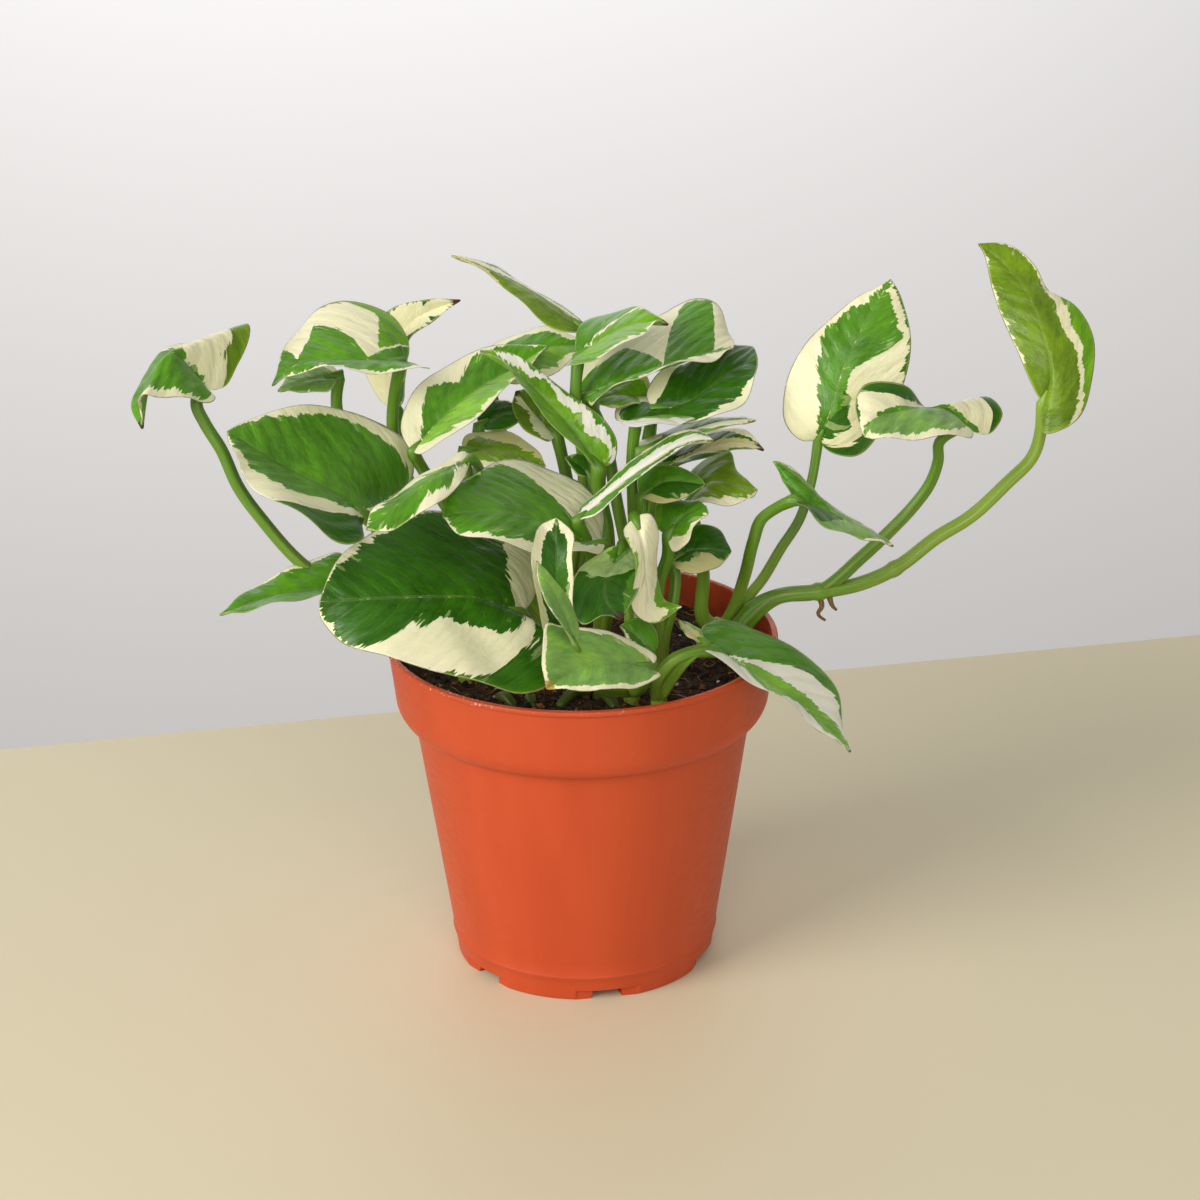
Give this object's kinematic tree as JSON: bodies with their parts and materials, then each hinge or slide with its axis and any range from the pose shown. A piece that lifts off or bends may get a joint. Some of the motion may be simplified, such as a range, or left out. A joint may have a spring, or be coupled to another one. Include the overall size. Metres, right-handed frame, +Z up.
{
  "type": "potted pothos",
  "caption": "Variegated pothos with green and cream leaves growing in a terracotta-coloured round plastic nursery pot with a deep collar",
  "frame": {"origin": "centre of the pot's flat underside", "axes": "X to the right as pictured, Y away from the camera, Z up along the pot's axis"},
  "size_m": [0.2547, 0.1167, 0.1874],
  "materials": {
    "pot_plastic": "satin",
    "soil": "matte",
    "leaf": "satin"
  },
  "bodies": {
    "root": {"pot": "pot_plastic", "soil": "soil", "stem_far_left": "leaf", "stem_left_back": "leaf", "stem_left_front": "leaf", "stem_centre_back": "leaf", "stem_centre": "leaf", "stem_front": "leaf", "stem_right_inner": "leaf", "stem_right_low": "leaf", "stem_right_upright": "leaf", "stem_trailing": "leaf", "stem_rim": "leaf"}
  },
  "joints": []
}
